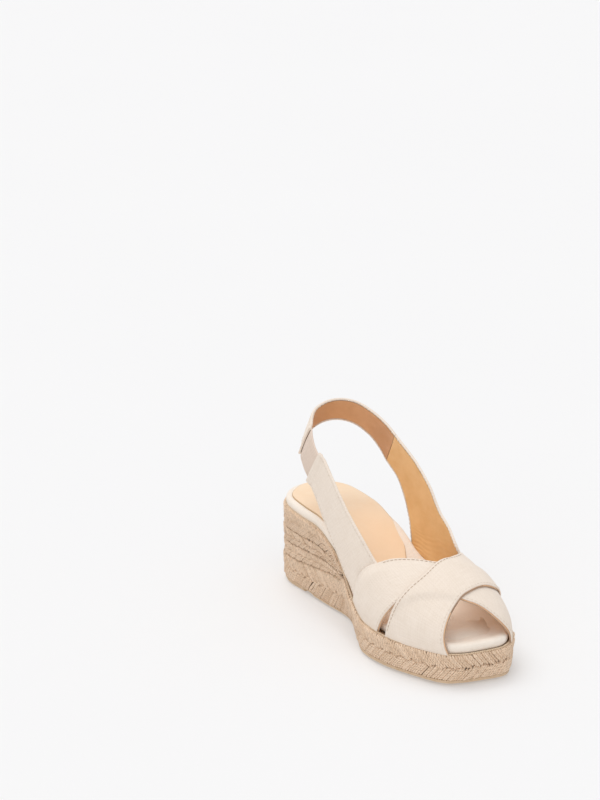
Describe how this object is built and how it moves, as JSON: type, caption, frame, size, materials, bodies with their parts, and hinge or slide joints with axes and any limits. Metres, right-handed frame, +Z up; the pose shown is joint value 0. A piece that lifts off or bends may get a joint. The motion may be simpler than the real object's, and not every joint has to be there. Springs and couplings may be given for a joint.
{
  "type": "wedge sandal",
  "caption": "Open-toe wedge sandal for the right foot, with a plaited jute wedge, two crossed canvas vamp bands and an elasticated slingback loop.",
  "frame": {"origin": "middle of the sandal's bounding box in plan, on the ground it stands on", "axes": "-Y to the toe, +Y to the heel, +X to the inner (medial) side of the right foot, +Z up"},
  "size_m": [0.0916, 0.2377, 0.1394],
  "materials": {
    "rubber": "matt moulded crepe rubber",
    "core": "pressed cork",
    "jute": "plaited natural jute yarn",
    "board": "fibre board",
    "foam": "soft latex foam",
    "canvas": "plain-weave cotton canvas, cream",
    "lining_canvas": "cotton lining, warm beige",
    "tan_leather": "tan lining leather",
    "sock_leather": "smooth natural leather",
    "elastic": "ribbed woven elastic"
  },
  "bodies": {
    "base": {"outsole_forefoot": "rubber", "heel_top_piece": "rubber", "wedge_core": "core", "jute_base_plait": "jute", "jute_row_lower": "jute", "jute_row_middle": "jute", "jute_row_upper": "jute", "insole_board": "board", "insole_foam": "foam", "footbed_cover": "canvas", "heel_sock": "sock_leather", "vamp_under_lining": "lining_canvas", "vamp_under_band": "canvas", "vamp_over_lining": "lining_canvas", "vamp_over_band": "canvas", "lateral_base_lining": "tan_leather", "lateral_base_canvas": "canvas", "medial_base_lining": "tan_leather", "medial_base_canvas": "canvas"},
    "sling": {"lateral_strap_lining": "tan_leather", "lateral_strap_canvas": "canvas", "medial_strap_lining": "tan_leather", "medial_strap_canvas": "canvas", "heel_elastic": "elastic"},
    "heel_loop": {"heel_strap_lining": "tan_leather", "heel_strap_canvas": "canvas"}
  },
  "joints": [
    {"name": "sling_swing", "type": "hinge", "parent": "base", "child": "sling", "pos_m": [0.0016, 0.0009, 0.062], "axis": [1, 0, 0], "range_deg": [-22, 25], "stiffness_Nm_per_rad": 0.6},
    {"name": "elastic_stretch", "type": "hinge", "parent": "sling", "child": "heel_loop", "pos_m": [0.0308, 0.0498, 0.1099], "axis": [0.0157, 0.4314, -0.902], "range_deg": [0, 12], "stiffness_Nm_per_rad": 0.5, "deforming": ["heel_elastic"]}
  ]
}
